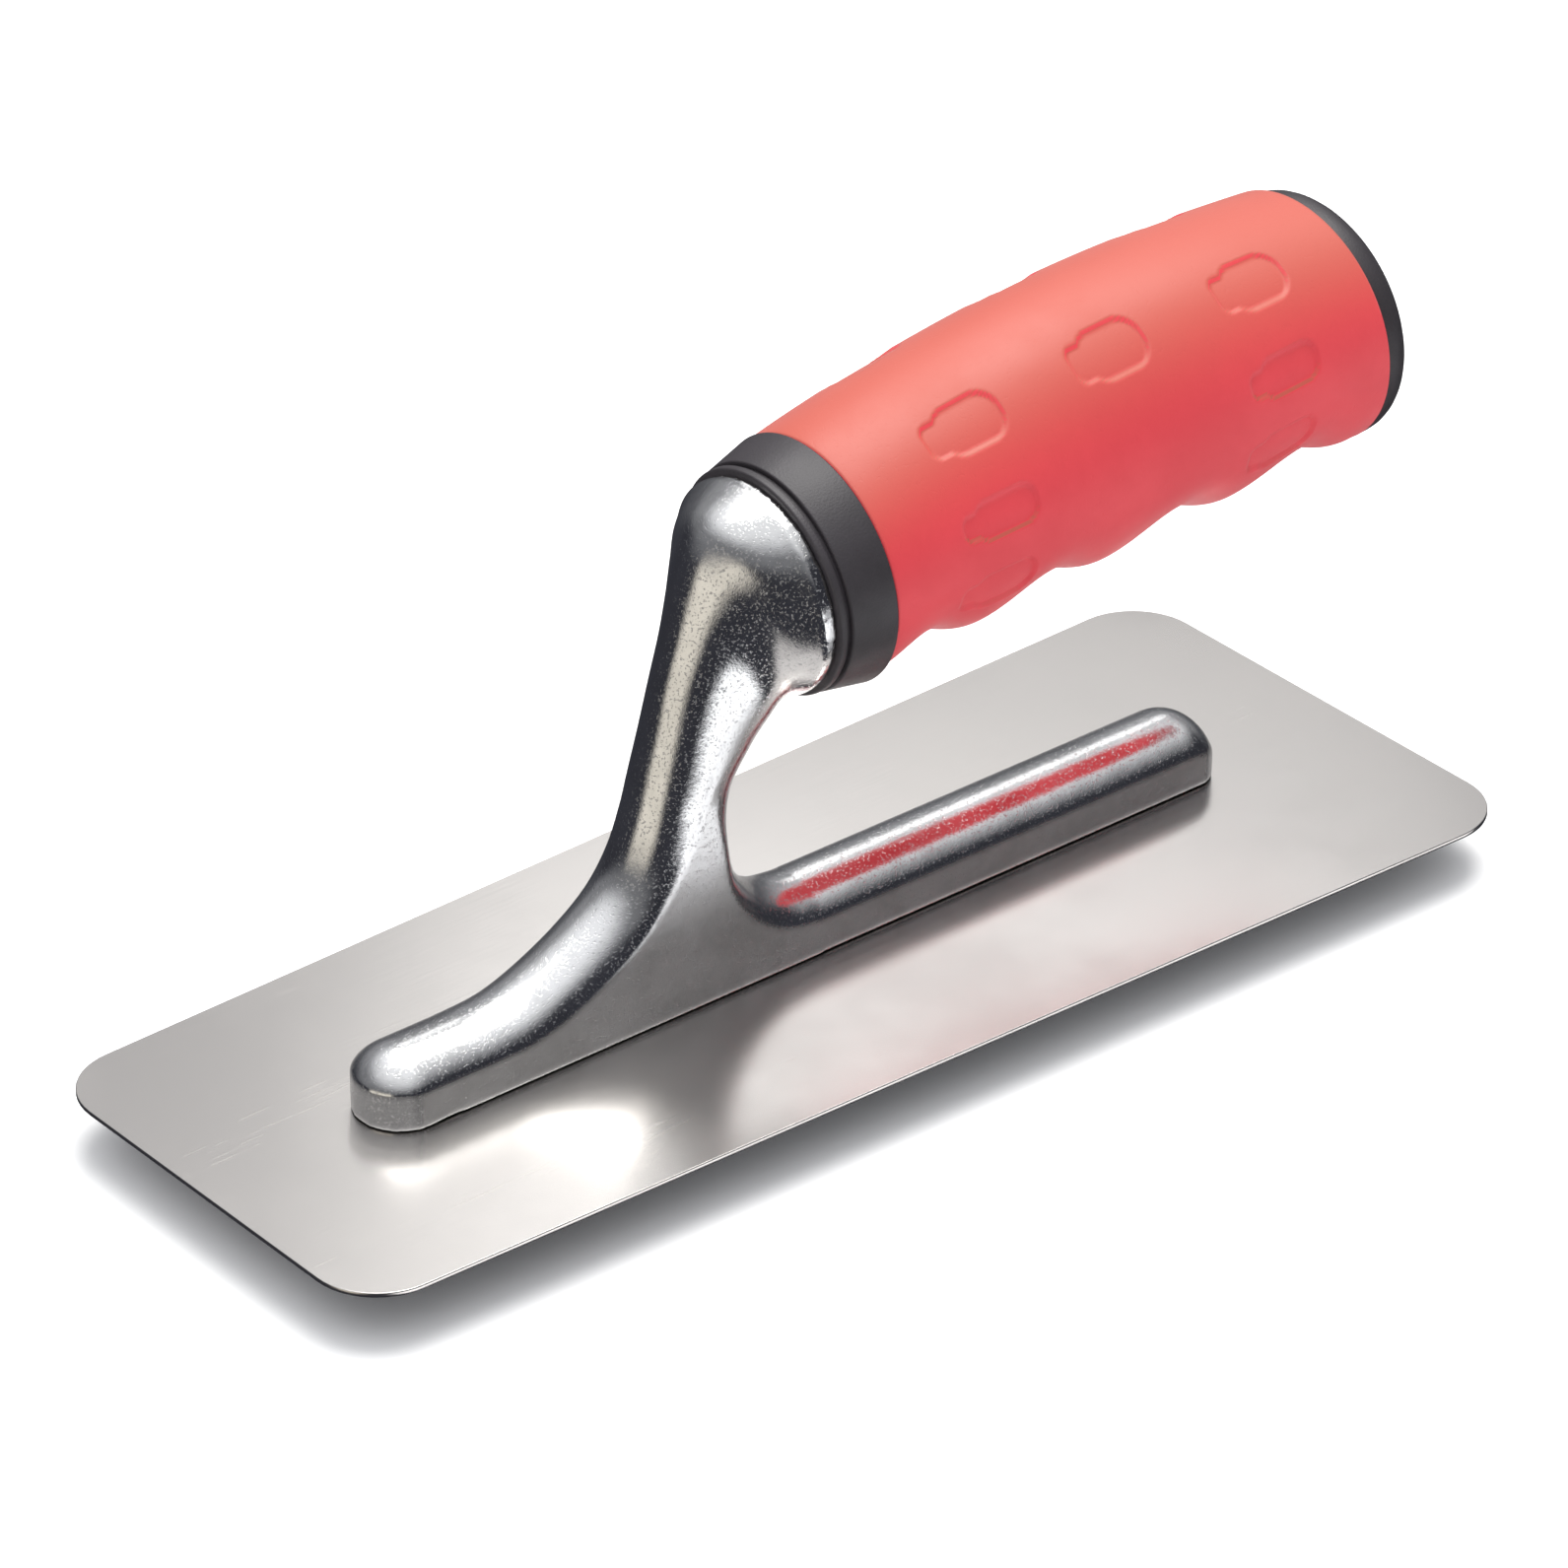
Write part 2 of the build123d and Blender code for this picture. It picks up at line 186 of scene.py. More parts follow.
# %% Stations of the two crowns
# Each row: crest x, crest z, crease x, crease z, half width, how far round its ellipse the crown reaches.
FRONT_ROWS = [
    (SWEEP_START, BAR_SIDE + BAR_CROWN, SWEEP_START, BAR_SIDE, BAR_HALF, 59),
    (56.5, 9.75, 56.5, 5.85, BAR_HALF, 59),
    (50.8, 10.4, 50.0, 6.1, BAR_HALF, 61),
    (45.0, 12.5, 43.0, 8.1, BAR_HALF, 64),
    (38.5, 15.8, 35.8, 11.6, BAR_HALF, 67),
    (33.6, 19.3, 29.6, 16.1, BAR_HALF, 71),
    (30.8, 22.8, 24.4, 22.8, BAR_HALF, 78),
]
FREE_NECK = len(FRONT_ROWS) - 1
# Each row: front x, z, back x, z, the shares of the two crowns, half width, and the two reaches.
NECK_ROWS = [
    (28.4, 28.6, 13.6, 27.3, 0.46, 0.30, 6.8, 84, 64),
    (26.8, 34.0, 12.1, 31.2, 0.50, 0.46, 6.85, 89, 76),
    (24.9, 40.6, 9.9, 34.4, 0.51, 0.475, 6.95, 90, 86),
    (23.0, 47.6, 8.3, 36.6, 0.55, 0.445, 7.25, 90, 90),
    (20.9, 54.4, 7.2, 38.3, 0.61, 0.385, 7.9, 90, 90),
    (19.2, 60.4, 6.6, 39.6, 0.63, 0.365, 8.7, 90, 90),
    (17.3, 66.0, 6.2, 40.5, 0.61, 0.385, 10.0, 90, 90),
    (14.3, 70.2, 5.95, 41.1, 0.56, 0.435, 12.3, 90, 90),
]

# %% [markdown]
# The handle's axis tilts up by five degrees towards the heel. Everything on the handle is placed by its
# distance along that axis from the casting, and by its radius about it.

# %% The handle's axis
TILT = math.radians(5)
ALONG = Vector((-math.cos(TILT), 0, math.sin(TILT)))
UPWARD = Vector((math.sin(TILT), 0, math.cos(TILT)))
HANDLE_START = point(5.3, 57.2)
MOUTH_RADIUS = 15.7
MOUTH_LAND = 1.9


def on_axis(distance, rise=0.0):
    """A point at a distance along the handle's axis, raised from it."""
    return HANDLE_START + ALONG * distance + UPWARD * rise


mouth_top = on_axis(-MOUTH_LAND, MOUTH_RADIUS)
mouth_low = on_axis(-MOUTH_LAND, -MOUTH_RADIUS)
NECK_ROWS.append((
    mouth_top.x, mouth_top.z - BLADE_TOP, mouth_low.x, mouth_low.z - BLADE_TOP,
    0.5, 0.495, MOUTH_RADIUS, 90, 90,
))


# %% Front and back crowns of the neck as rows of their own
def crown_row(crest, other, share, half, reach):
    """Crest and crease of one crown, from the section's two ends and the crown's share of it."""
    crease = [a + (b - a) * share for a, b in zip(crest, other)]
    return (*crest, *crease, half, reach)


BACK_ROWS = []
ARCH_STEPS = 4
for i in range(ARCH_STEPS + 1):
    share = i / ARCH_STEPS
    turn = math.pi / 2 * share
    crown = BAR_CROWN + (ARCH_TOP_CROWN - BAR_CROWN) * share
    crest, crease = (
        (radius * math.sin(turn), NECK_START - radius * math.cos(turn))
        for radius in (ARCH_RADIUS - crown, ARCH_RADIUS)
    )
    BACK_ROWS.append((*crest, *crease, BAR_HALF, CROWN_ANGLE - 2 * share))
for row in NECK_ROWS:
    front, back, shares, half, reaches = row[0:2], row[2:4], row[4:6], row[6], row[7:9]
    FRONT_ROWS.append(crown_row(front, back, shares[0], half, reaches[0]))
    BACK_ROWS.append(crown_row(back, front, shares[1], half, reaches[1]))
print(len(FRONT_ROWS), "front stations,", len(BACK_ROWS), "back stations")


# %% [markdown]
# ## The shank: sections
# A crown is part of an ellipse. When it reaches 90 degrees round, it meets the flat side without a
# crease; when it reaches less, a crease stays, as along the bar. Below its crease each crown gets a
# short straight skirt that sinks into the web, so that the parts overlap well before they are fused.

# %% Outline functions
def crown_point(share, half, height, reach):
    """Point of a crown at a share from -1 to 1 of the way over, measured from its crease."""
    edge = math.radians(reach)
    angle = edge * share
    rise = height / (1 - math.cos(edge)) * (math.cos(angle) - math.cos(edge))
    return half * math.sin(angle) / math.sin(edge), rise


def crown_outline(half, height, reach, skirt):
    """Closed outline: the crown over one half of the ring, straight sides and a flat foot below."""
    lengths = (skirt, 2 * half, skirt)

    def outline(f):
        if f < 0.5:
            return crown_point(1 - 4 * f, half, height, reach)
        run = (f - 0.5) * 2 * sum(lengths)
        if run < skirt:
            return -half, -run
        if run < skirt + 2 * half:
            return run - skirt - half, -skirt
        return half, run - sum(lengths)

    return outline


def closed_outline(front, back, depth):
    """Section of the free neck: the front crown over one half of the ring, the back crown below."""
    def outline(f):
        if f < 0.5:
            return crown_point(1 - 4 * f, *front)
        across, rise = crown_point(4 * f - 3, *back)
        return across, -rise - depth

    return outline


# %% [markdown]
# ## The shank: five overlapping shells
# The bar, the web plate, the two crowns and the neck are each drawn as a closed shell. They overlap on
# purpose. A voxel remesh then fuses them into one skin, and a light smoothing rounds every inside corner
# a little, which is just what casting and tumbling do to the real part.

# %% The bar with its round nose and heel end
RING_POINTS = 64
END_STEPS = 10
BAR_STEPS = 14
BAR_STEP = 9.6
SMALL_END = 0.02          # the first ring stays this far from the very end


def bar_ring(bm, x, half, side, height):
    """One upright section of the bar at x."""
    outline = crown_outline(half, height, CROWN_ANGLE, side)
    return ring(bm, RING_POINTS, point(x, side), Vector((0, 0, 1)), outline)


def rounded(distance, radius):
    """How much a rounded corner takes away, at a distance from the end."""
    if distance >= radius:
        return 0.0
    return radius - math.sqrt(radius ** 2 - (radius - distance) ** 2)


bm = bmesh.new()
rings = []
for i in range(END_STEPS + 1):
    gap = HEEL_TOP_CORNER * (1 - math.cos(math.pi / 2 * i / END_STEPS)) + SMALL_END
    half = BAR_HALF - rounded(gap, HEEL_PLAN_CORNER)
    drop = rounded(gap, HEEL_TOP_CORNER)
    height = BAR_CROWN * half / BAR_HALF
    side = BAR_SIDE + BAR_CROWN - drop - height
    rings.append(bar_ring(bm, HEEL_X + gap, half, side, height))
for i in range(BAR_STEPS):
    x = HEEL_X + HEEL_TOP_CORNER + (i + 1) * BAR_STEP
    rings.append(bar_ring(bm, x, BAR_HALF, BAR_SIDE, BAR_CROWN))
rings.append(bar_ring(bm, NOSE_X, BAR_HALF, BAR_SIDE, BAR_CROWN))
skin(bm, rings)

NOSE_STEPS = 16
profile = [(BAR_HALF, 0.0)]
for i in range(NOSE_STEPS + 1):
    across, rise = crown_point(1 - i / NOSE_STEPS, BAR_HALF, BAR_CROWN, CROWN_ANGLE)
    profile.append((across, BAR_SIDE + rise))
profile.append((0.0, 0.0))
verts = [bm.verts.new(point(NOSE_X, 0) + Vector((across, 0, rise))) for across, rise in profile]
edges = [bm.edges.new(pair) for pair in zip(verts, verts[1:])]
edges.append(bm.edges.new((verts[-1], verts[0])))
bmesh.ops.spin(
    bm, geom=verts + edges, cent=point(NOSE_X, 0), axis=(0, 0, 1), angle=math.tau,
    steps=RING_POINTS, use_merge=True,
)

# %% The two crowns and the neck
STATIONS_PER_ROW = 6
SKIRT = 2.2
SHELL_OVERLAP = 1.5       # rows by which a crown runs on into the neck
WEB_OVERLAP = 1.2         # rows by which the web plate does


def crown_ring(bm, row, skirt):
    """One section of a crown from its row of measures."""
    crest, crease = point(row[0], row[1]), point(row[2], row[3])
    rise = crest - crease
    outline = crown_outline(row[4], rise.length, row[5], skirt)
    return ring(bm, RING_POINTS, crease, rise.normalized(), outline)


def crown_shell(bm, rows, last):
    """A closed shell from the first row to row number last, which need not be whole."""
    count = int(last * STATIONS_PER_ROW)
    rings = [crown_ring(bm, blend_rows(rows, i / STATIONS_PER_ROW), SKIRT) for i in range(count + 1)]
    skin(bm, rings)


crown_shell(bm, FRONT_ROWS, FREE_NECK + SHELL_OVERLAP)
crown_shell(bm, BACK_ROWS, ARCH_STEPS + SHELL_OVERLAP)

rings = []
for i in range(len(NECK_ROWS) * STATIONS_PER_ROW + 1):
    step = i / STATIONS_PER_ROW
    front = blend_rows(FRONT_ROWS, FREE_NECK + step)
    back = blend_rows(BACK_ROWS, ARCH_STEPS + step)
    front_crease, back_crease = point(front[2], front[3]), point(back[2], back[3])
    front_rise = point(front[0], front[1]) - front_crease
    back_rise = point(back[0], back[1]) - back_crease
    outline = closed_outline(
        (front[4], front_rise.length, front[5]),
        (back[4], back_rise.length, back[5]),
        (front_crease - back_crease).length,
    )
    rings.append(ring(bm, RING_POINTS, front_crease, front_rise.normalized(), outline))
skin(bm, rings)

# %% The web plate between the creases
web_line = []
for i in range(int((FREE_NECK + WEB_OVERLAP) * STATIONS_PER_ROW) + 1):
    row = blend_rows(FRONT_ROWS, i / STATIONS_PER_ROW)
    web_line.append(point(row[2], row[3]))
for i in range(int((ARCH_STEPS + WEB_OVERLAP) * STATIONS_PER_ROW), -1, -1):
    row = blend_rows(BACK_ROWS, i / STATIONS_PER_ROW)
    web_line.append(point(row[2], row[3]))
web_line += [point(0, 0), point(SWEEP_START, 0)]
verts = [bm.verts.new(corner - ACROSS * BAR_HALF) for corner in web_line]
plate = bm.faces.new(verts)
grown = bmesh.ops.extrude_face_region(bm, geom=[plate])
moved = [item for item in grown["geom"] if isinstance(item, bmesh.types.BMVert)]
bmesh.ops.translate(bm, vec=ACROSS * 2 * BAR_HALF, verts=moved)

# %% The mouth's rim and the spigot inside the handle
SPIGOT_RADIUS = 10.0
SPIGOT_ROOT = -1.0
SPIGOT_LENGTH = 12.0
SINK = 0.05               # how far the mouth's rim starts inside the neck


def round_outline(radius):
    def outline(f):
        return radius * math.sin(math.tau * f), radius * math.cos(math.tau * f)
    return outline


def round_ring(bm, distance, radius, count=RING_POINTS):
    return ring(bm, count, on_axis(distance), UPWARD, round_outline(radius))


skin(bm, [round_ring(bm, s, MOUTH_RADIUS) for s in (-MOUTH_LAND - SINK, 0.0)])
skin(bm, [round_ring(bm, s, SPIGOT_RADIUS) for s in (SPIGOT_ROOT, SPIGOT_LENGTH)])

# %% Fuse the shells and smooth the skin
VOXEL = 0.38
SOFTENING = 0.5
SOFTENING_ROUNDS = 6
bmesh.ops.recalc_face_normals(bm, faces=bm.faces)
rough = finish_piece("rough_casting", bm)
remesh = rough.modifiers.new("fuse", "REMESH")
remesh.mode = "VOXEL"
remesh.voxel_size = VOXEL * MM
remesh.use_smooth_shade = True
soften = rough.modifiers.new("tumble", "SMOOTH")
soften.factor = SOFTENING
soften.iterations = SOFTENING_ROUNDS
graph = bpy.context.evaluated_depsgraph_get()
fused = bpy.data.meshes.new_from_object(rough.evaluated_get(graph))
shank = bpy.data.objects.new("shank_casting", fused)
bpy.context.scene.collection.objects.link(shank)
fused.shade_smooth()
del shown["rough_casting"]
bpy.data.objects.remove(rough)
shown["shank_casting"] = shank
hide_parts("shank")
print("shank_casting", len(fused.polygons), "faces")

# %% [markdown]
# ## Turned pieces of the handle
# The thin ring, the collar with its hidden tube, and the end cap are all round about the handle's axis,
# so each is one profile and one spin. The profile is a chain of points (distance along the axis, radius).
# A real moulding has no knife edges, so the corners that show are given as two points a little apart.


# %% Turning a profile
TURN_STEPS = 128
CORNER_STEPS = 4


def turned(name, profile, drop=0.0):
    """One spun piece. drop lowers its own axis below the handle's."""
    bm = bmesh.new()
    verts = [bm.verts.new(on_axis(distance, radius)) for distance, radius in profile]
    edges = [bm.edges.new(pair) for pair in zip(verts, verts[1:])]
    if profile[0][1] > 0:
        edges.append(bm.edges.new((verts[-1], verts[0])))
    bmesh.ops.spin(
        bm, geom=verts + edges, cent=HANDLE_START, axis=ALONG, angle=math.tau,
        steps=TURN_STEPS, use_merge=True,
    )
    bmesh.ops.translate(bm, vec=-UPWARD * drop, verts=bm.verts)
    return finish_piece(name, bm, smooth_angle=50)


def corner(distance, radius, size, turn):
    """Rounded outer corner of a turned profile. turn is 1 at a front corner, -1 at a rear one."""
    points = []
    for i in range(CORNER_STEPS + 1):
        angle = math.pi / 2 * i / CORNER_STEPS
        lift, run = math.sin(angle), 1 - math.cos(angle)
        if turn < 0:
            lift, run = math.cos(angle), 1 - math.sin(angle)
        points.append((distance + turn * size * run, radius - size * (1 - lift)))
    return points


# %% Neck ring and collar with its tube
RING_RADIUS = 16.5
RING_LENGTH = 1.2
GROOVE_LENGTH = 0.7
GROOVE_RADIUS = 16.0
COLLAR_FRONT = 16.8
COLLAR_RADIUS = 18.2
COLLAR_END = 8.6
CORE_RADIUS = 12.0
SLEEVE_END = 98.0
SLEEVE_END_RADIUS = 18.7
POCKET_RADIUS = 9.5
POCKET_START = 84.0
BORE = 4.2

neck_ring = turned("neck_ring_moulding", [
    (0, SPIGOT_RADIUS),
    *corner(0, RING_RADIUS, 0.35, 1),
    *corner(RING_LENGTH, RING_RADIUS, 0.2, -1),
    (RING_LENGTH, SPIGOT_RADIUS),
])
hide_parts("neck_ring")

groove_end = RING_LENGTH + GROOVE_LENGTH
collar = turned("collar_moulding", [
    (RING_LENGTH, SPIGOT_RADIUS),
    (RING_LENGTH, GROOVE_RADIUS),
    (groove_end, GROOVE_RADIUS),
    *corner(groove_end, COLLAR_FRONT, 0.3, 1),
    *corner(COLLAR_END, COLLAR_RADIUS, 0.25, -1),
    (COLLAR_END, CORE_RADIUS),
    (SLEEVE_END, CORE_RADIUS),
    (SLEEVE_END, POCKET_RADIUS),
    (POCKET_START, POCKET_RADIUS),
    (POCKET_START, BORE),
    (SPIGOT_LENGTH, BORE),
    (SPIGOT_LENGTH, SPIGOT_RADIUS),
])
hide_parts("grip_core")

# %% End cap
CAP_RADIUS = 18.3
CAP_DROP = 0.8            # the cap's own axis lies a little below the handle's
CAP_EDGE = 0.8
CAP_DOME = 7.3
CAP_SEAT = 97.4           # the sleeve's rear face, which the cap pulls in a little
CAP_PLUG = 2.0            # how far the cap reaches into the core's pocket here
DOME_FULLNESS = 0.88      # under 1 makes the dome fuller than an ellipse
DOME_STEPS = 16
dome = []
for i in range(DOME_STEPS + 1):
    angle = math.pi / 2 * i / DOME_STEPS
    lift, fall = math.sin(angle) ** DOME_FULLNESS, max(math.cos(angle), 0) ** DOME_FULLNESS
    dome.append((SLEEVE_END + CAP_EDGE + (CAP_DOME - CAP_EDGE) * lift, CAP_RADIUS * fall))
dome[-1] = (SLEEVE_END + CAP_DOME, 0.0)
end_cap = turned("end_cap_moulding", [
    (CAP_SEAT - CAP_PLUG, 0.0),
    (CAP_SEAT - CAP_PLUG, POCKET_RADIUS - CAP_DROP),
    (CAP_SEAT, POCKET_RADIUS - CAP_DROP),
    *corner(CAP_SEAT, CAP_RADIUS, 0.25, 1),
    *dome,
], drop=CAP_DROP)
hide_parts("end_cap")

# %% [markdown]
# ## The rubber sleeve
# The sleeve is soft moulded rubber: crowned on top, with four finger hollows below, and shallow
# fingertip-shaped recesses along its sides. A formula is the clearest way to say all of that. Rings of
# many points are laid along the axis, and each point's radius is the body's oval less the recess there.

# %% The body of the sleeve
SLEEVE_FRONT_RADIUS = 17.9
SLEEVE_END_TOP = 18.2
TOP_CROWN = 4.2
SIDE_CROWN = 1.2
SWELL_POWER = 0.8
SWELL_FADE = 0.3          # how much lower the top is near the rear
UNDERSIDE = [
    (8.6, 16.9),
    (17.2, 13.7),
    (26.5, 17.0),
    (38.8, 13.7),
    (48.5, 17.0),
    (61.5, 13.9),
    (72.0, 17.6),
    (85.0, 15.2),
    (95.5, 18.9),
    (98.0, 19.1),
]


def underside(s):
    """Radius straight down, with smooth waves between the hollows and crests."""
    for (start, first), (end, last) in zip(UNDERSIDE, UNDERSIDE[1:]):
        if s <= end:
            break
    share = min((s - start) / (end - start), 1)
    return first + (last - first) * (1 - math.cos(math.pi * share)) / 2


def oval_radius(s, angle):
    """Radius of the sleeve at a distance s, at an angle from the top."""
    t = (s - COLLAR_END) / (SLEEVE_END - COLLAR_END)
    swell = max(math.sin(math.pi * t), 0) ** SWELL_POWER
    width = SLEEVE_FRONT_RADIUS + (SLEEVE_END_RADIUS - SLEEVE_FRONT_RADIUS) * t + SIDE_CROWN * swell
    if math.cos(angle) > 0:
        tall = SLEEVE_FRONT_RADIUS + (SLEEVE_END_TOP - SLEEVE_FRONT_RADIUS) * t
        tall += TOP_CROWN * swell * (1 - SWELL_FADE * t ** 6)
    else:
        tall = underside(s)
    return 1 / math.hypot(math.cos(angle) / tall, math.sin(angle) / width)


# %% The fingertip recesses
# A recess is a body with a narrower stub at its front, both with rounded corners.
RECESS_DEPTH = 0.45
RECESS_EDGE = 0.40        # width of the slope down into a recess
RECESS_RADIUS = 19.0      # radius of the sleeve where a recess's width is measured
RECESS_REACH = (9, 6)     # nothing of a recess is further from its centre than this
BODY_CENTRE = 0.9
BODY_HALF = 5.2
BODY_FLAT = 0.5
STUB_CENTRE = -4.4
STUB_HALF = 1.9
STUB_INSET = 0.9
STUB_CORNER = 1.4
RECESS_COLUMNS = [         # angle from the top, half width, centres along the axis
    (32.5, 3.4, (27.6, 52.8, 79.0)),
    (71, 2.7, (27.3, 78.3)),
    (104, 3.0, (26.2, 77.0)),
]


def box_distance(a, b, half_length, half_width, radius):
    """Signed distance to a rectangle with rounded corners, negative inside."""
    over = max(abs(a) - half_length + radius, 0), max(abs(b) - half_width + radius, 0)
    inner = min(max(abs(a) - half_length + radius, abs(b) - half_width + radius), 0)
    return math.hypot(*over) + inner - radius


def recess(s, angle):
    """Depth of the recesses at a point of the sleeve."""
    degrees = math.degrees(math.atan2(math.sin(angle), math.cos(angle)))
    deepest = 0.0
    for column, half, centres in RECESS_COLUMNS:
        b = math.radians(abs(degrees) - column) * RECESS_RADIUS
        if abs(b) > RECESS_REACH[1]:
            continue
        for centre in centres:
            a = s - centre
            if abs(a) > RECESS_REACH[0]:
                continue
            body = box_distance(a - BODY_CENTRE, b, BODY_HALF, half, half - BODY_FLAT)
            stub = box_distance(a - STUB_CENTRE, b, STUB_HALF, half - STUB_INSET, STUB_CORNER)
            share = min(max(0.5 - min(body, stub) / RECESS_EDGE, 0), 1)
            deepest = max(deepest, share * share * (3 - 2 * share))
    return RECESS_DEPTH * deepest


# %% Sleeve rings
SLEEVE_ROUND = 320
SLEEVE_STEP = 0.34
LIP = 0.35                # size of the small step at each end of the sleeve

bm = bmesh.new()
rings = []
first, last = COLLAR_END + LIP / 2, CAP_SEAT - LIP / 2
count = round((last - first) / SLEEVE_STEP)
stations = [first + (last - first) * i / count for i in range(count + 1)]


def sleeve_outline(s, shrink=0.0):
    """The sleeve's section at a distance s, made smaller all round by shrink."""
    def outline(f):
        angle = math.tau * f
        radius = oval_radius(s, angle) - recess(s, angle) - shrink
        return radius * math.sin(angle), radius * math.cos(angle)
    return outline


rings.append(round_ring(bm, COLLAR_END, CORE_RADIUS, SLEEVE_ROUND))
rings.append(ring(bm, SLEEVE_ROUND, on_axis(COLLAR_END), UPWARD, sleeve_outline(COLLAR_END, LIP)))
for s in stations:
    rings.append(ring(bm, SLEEVE_ROUND, on_axis(s), UPWARD, sleeve_outline(s)))
rings.append(ring(bm, SLEEVE_ROUND, on_axis(CAP_SEAT), UPWARD, sleeve_outline(CAP_SEAT, LIP)))
rings.append(round_ring(bm, CAP_SEAT, CORE_RADIUS, SLEEVE_ROUND))
skin(bm, rings + rings[:1], closed_ends=False)
sleeve = finish_piece("sleeve_rubber", bm, smooth_angle=60)
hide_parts("grip_sleeve")

# %% [markdown]
# ## Materials: the shared effects
# Three effects turn up on several surfaces, so each is a node group with named inputs. *Cast skin* is the
# pitted, faintly rippled skin that a mould leaves. *Rubbing marks* are long fine streaks in one direction.
# *Handling mottle* is the uneven tone that hands and dust leave. The groups give out only values, and
# the shaders themselves stay in each material.


# %% Node helpers
def feed(tree, socket, source):
    """Gives a socket its source, which is another socket or a plain number."""
    if isinstance(source, (int, float)):
        socket.default_value = source
    else:
        tree.links.new(source, socket)


def start_group(name, inputs, outputs):
    """A node group with named sockets, and its input and output nodes."""
    tree = bpy.data.node_groups.new(name, "ShaderNodeTree")
    for label, kind, default in inputs:
        socket = tree.interface.new_socket(label, in_out="INPUT", socket_type=kind)
        if default is not None:
            socket.default_value = default
    for label, kind in outputs:
        tree.interface.new_socket(label, in_out="OUTPUT", socket_type=kind)
    return tree, tree.nodes.new("NodeGroupInput"), tree.nodes.new("NodeGroupOutput")


def remap(tree, value, low, high, to_low, to_high):
    """Map Range with smooth ends; any bound may be a socket or a number."""
    node = tree.nodes.new("ShaderNodeMapRange")
    node.interpolation_type = "SMOOTHSTEP"
    for socket, source in zip(node.inputs, (value, low, high, to_low, to_high)):
        feed(tree, socket, source)
    return node.outputs["Result"]


def maths(tree, operation, first, second=0.0):
    node = tree.nodes.new("ShaderNodeMath")
    node.operation = operation
    feed(tree, node.inputs[0], first)
    feed(tree, node.inputs[1], second)
    return node.outputs[0]


def noise(tree, place, scale, detail=2.0, roughness=0.5):
    node = tree.nodes.new("ShaderNodeTexNoise")
    for label, source in (("Vector", place), ("Scale", scale), ("Detail", detail), ("Roughness", roughness)):
        feed(tree, node.inputs[label], source)
    return node.outputs["Fac"]


def axes(tree, vector):
    """The X, Y and Z of a vector, by name."""
    node = tree.nodes.new("ShaderNodeSeparateXYZ")
    tree.links.new(vector, node.inputs[0])
    return node.outputs


def true_normal(tree):
    """The way a face looks, before any bump."""
    return tree.nodes.new("ShaderNodeNewGeometry").outputs["True Normal"]


FLOAT, VECTOR = "NodeSocketFloat", "NodeSocketVector"

# %% Cast skin: pits and slow ripples
CAST_SKIN, put, out = start_group(
    "Cast skin",
    [
        ("Place", VECTOR, None),
        ("Pits per metre", FLOAT, 900.0),
        ("Pit depth", FLOAT, 0.3),
        ("Ripple", FLOAT, 0.3),
    ],
    [("Height", FLOAT), ("Pit mask", FLOAT)],
)
link = CAST_SKIN.links.new
fine = noise(CAST_SKIN, put.outputs["Place"], put.outputs["Pits per metre"], 3.0, 0.6)
pit_mask = remap(CAST_SKIN, fine, 0.56, 0.70, 0.0, 1.0)
ripples = maths(CAST_SKIN, "MULTIPLY", put.outputs["Pits per metre"], 0.12)
slow = noise(CAST_SKIN, put.outputs["Place"], ripples, 2.0)
bumps = maths(CAST_SKIN, "MULTIPLY", fine, put.outputs["Pit depth"])
waves = maths(CAST_SKIN, "MULTIPLY", slow, put.outputs["Ripple"])
sunk = maths(CAST_SKIN, "MULTIPLY", pit_mask, put.outputs["Pit depth"])
link(maths(CAST_SKIN, "SUBTRACT", maths(CAST_SKIN, "ADD", bumps, waves), sunk), out.inputs["Height"])
link(pit_mask, out.inputs["Pit mask"])

# %% Rubbing marks: long fine streaks
RUBBING, put, out = start_group(
    "Rubbing marks",
    [("Place", VECTOR, None), ("Streaks per metre", FLOAT, 700.0), ("Clusters per metre", FLOAT, 18.0)],
    [("Streaks", FLOAT), ("Scuffs", FLOAT)],
)
link = RUBBING.links.new
streaks = noise(RUBBING, put.outputs["Place"], put.outputs["Streaks per metre"], 4.0, 0.65)
clusters = noise(RUBBING, put.outputs["Place"], put.outputs["Clusters per metre"], 2.0)
patch = remap(RUBBING, clusters, 0.55, 0.72, 0.0, 1.0)
sharp = remap(RUBBING, streaks, 0.58, 0.66, 0.0, 1.0)
link(streaks, out.inputs["Streaks"])
link(maths(RUBBING, "MULTIPLY", patch, sharp), out.inputs["Scuffs"])

# %% Handling mottle: uneven tone and a fine grain
MOTTLE, put, out = start_group(
    "Handling mottle",
    [("Place", VECTOR, None), ("Patches per metre", FLOAT, 60.0), ("Grain per metre", FLOAT, 3000.0)],
    [("Tone", FLOAT), ("Grain", FLOAT)],
)
link = MOTTLE.links.new
broad = noise(MOTTLE, put.outputs["Place"], put.outputs["Patches per metre"], 4.0, 0.6)
grain = noise(MOTTLE, put.outputs["Place"], put.outputs["Grain per metre"], 2.0, 0.5)
link(remap(MOTTLE, broad, 0.3, 0.7, 0.0, 1.0), out.inputs["Tone"])
link(grain, out.inputs["Grain"])
print("shared effects:", [tree.name for tree in (CAST_SKIN, RUBBING, MOTTLE)])

# %% [markdown]
# ## Materials: one finish at a time
# Each finish starts from a Principled shader and the object's own coordinates. Colour, roughness and
# relief then each take a little of a shared effect, because on the real tool none of the three is even.


